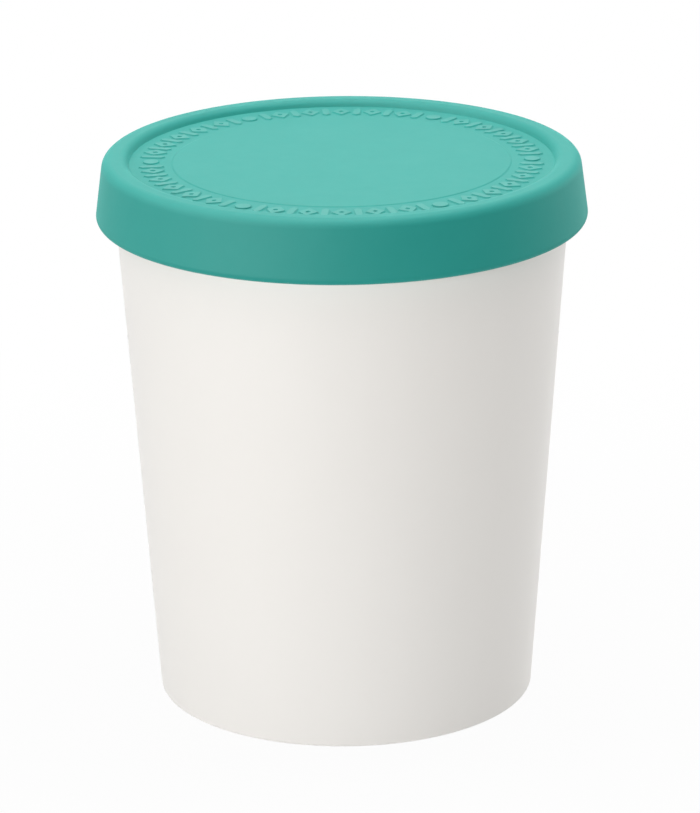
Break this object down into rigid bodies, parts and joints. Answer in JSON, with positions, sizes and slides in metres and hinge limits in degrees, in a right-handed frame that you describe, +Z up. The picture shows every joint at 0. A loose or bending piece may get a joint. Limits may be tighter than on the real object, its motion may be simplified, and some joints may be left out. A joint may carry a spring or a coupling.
{
  "type": "lidded ice cream tub",
  "caption": "Tall round off-white plastic tub, widening upwards, shut with a soft teal cap lid that has a flared skirt and a ring of raised lozenges, darts and dots.",
  "frame": {"origin": "centre of the foot ring, on the surface that the tub stands on", "axes": "+Z up along the tub's axis, from the foot to the lid; the tub and the lid are round, so +X and +Y only fix the turn of the lid's ornament, with a dot of it on +X"},
  "size_m": [0.12, 0.12, 0.1366],
  "materials": {
    "tub_plastic": "satin",
    "lid_silicone": "matte"
  },
  "bodies": {
    "root": {"tub": "tub_plastic", "lid": "lid_silicone"}
  },
  "joints": []
}
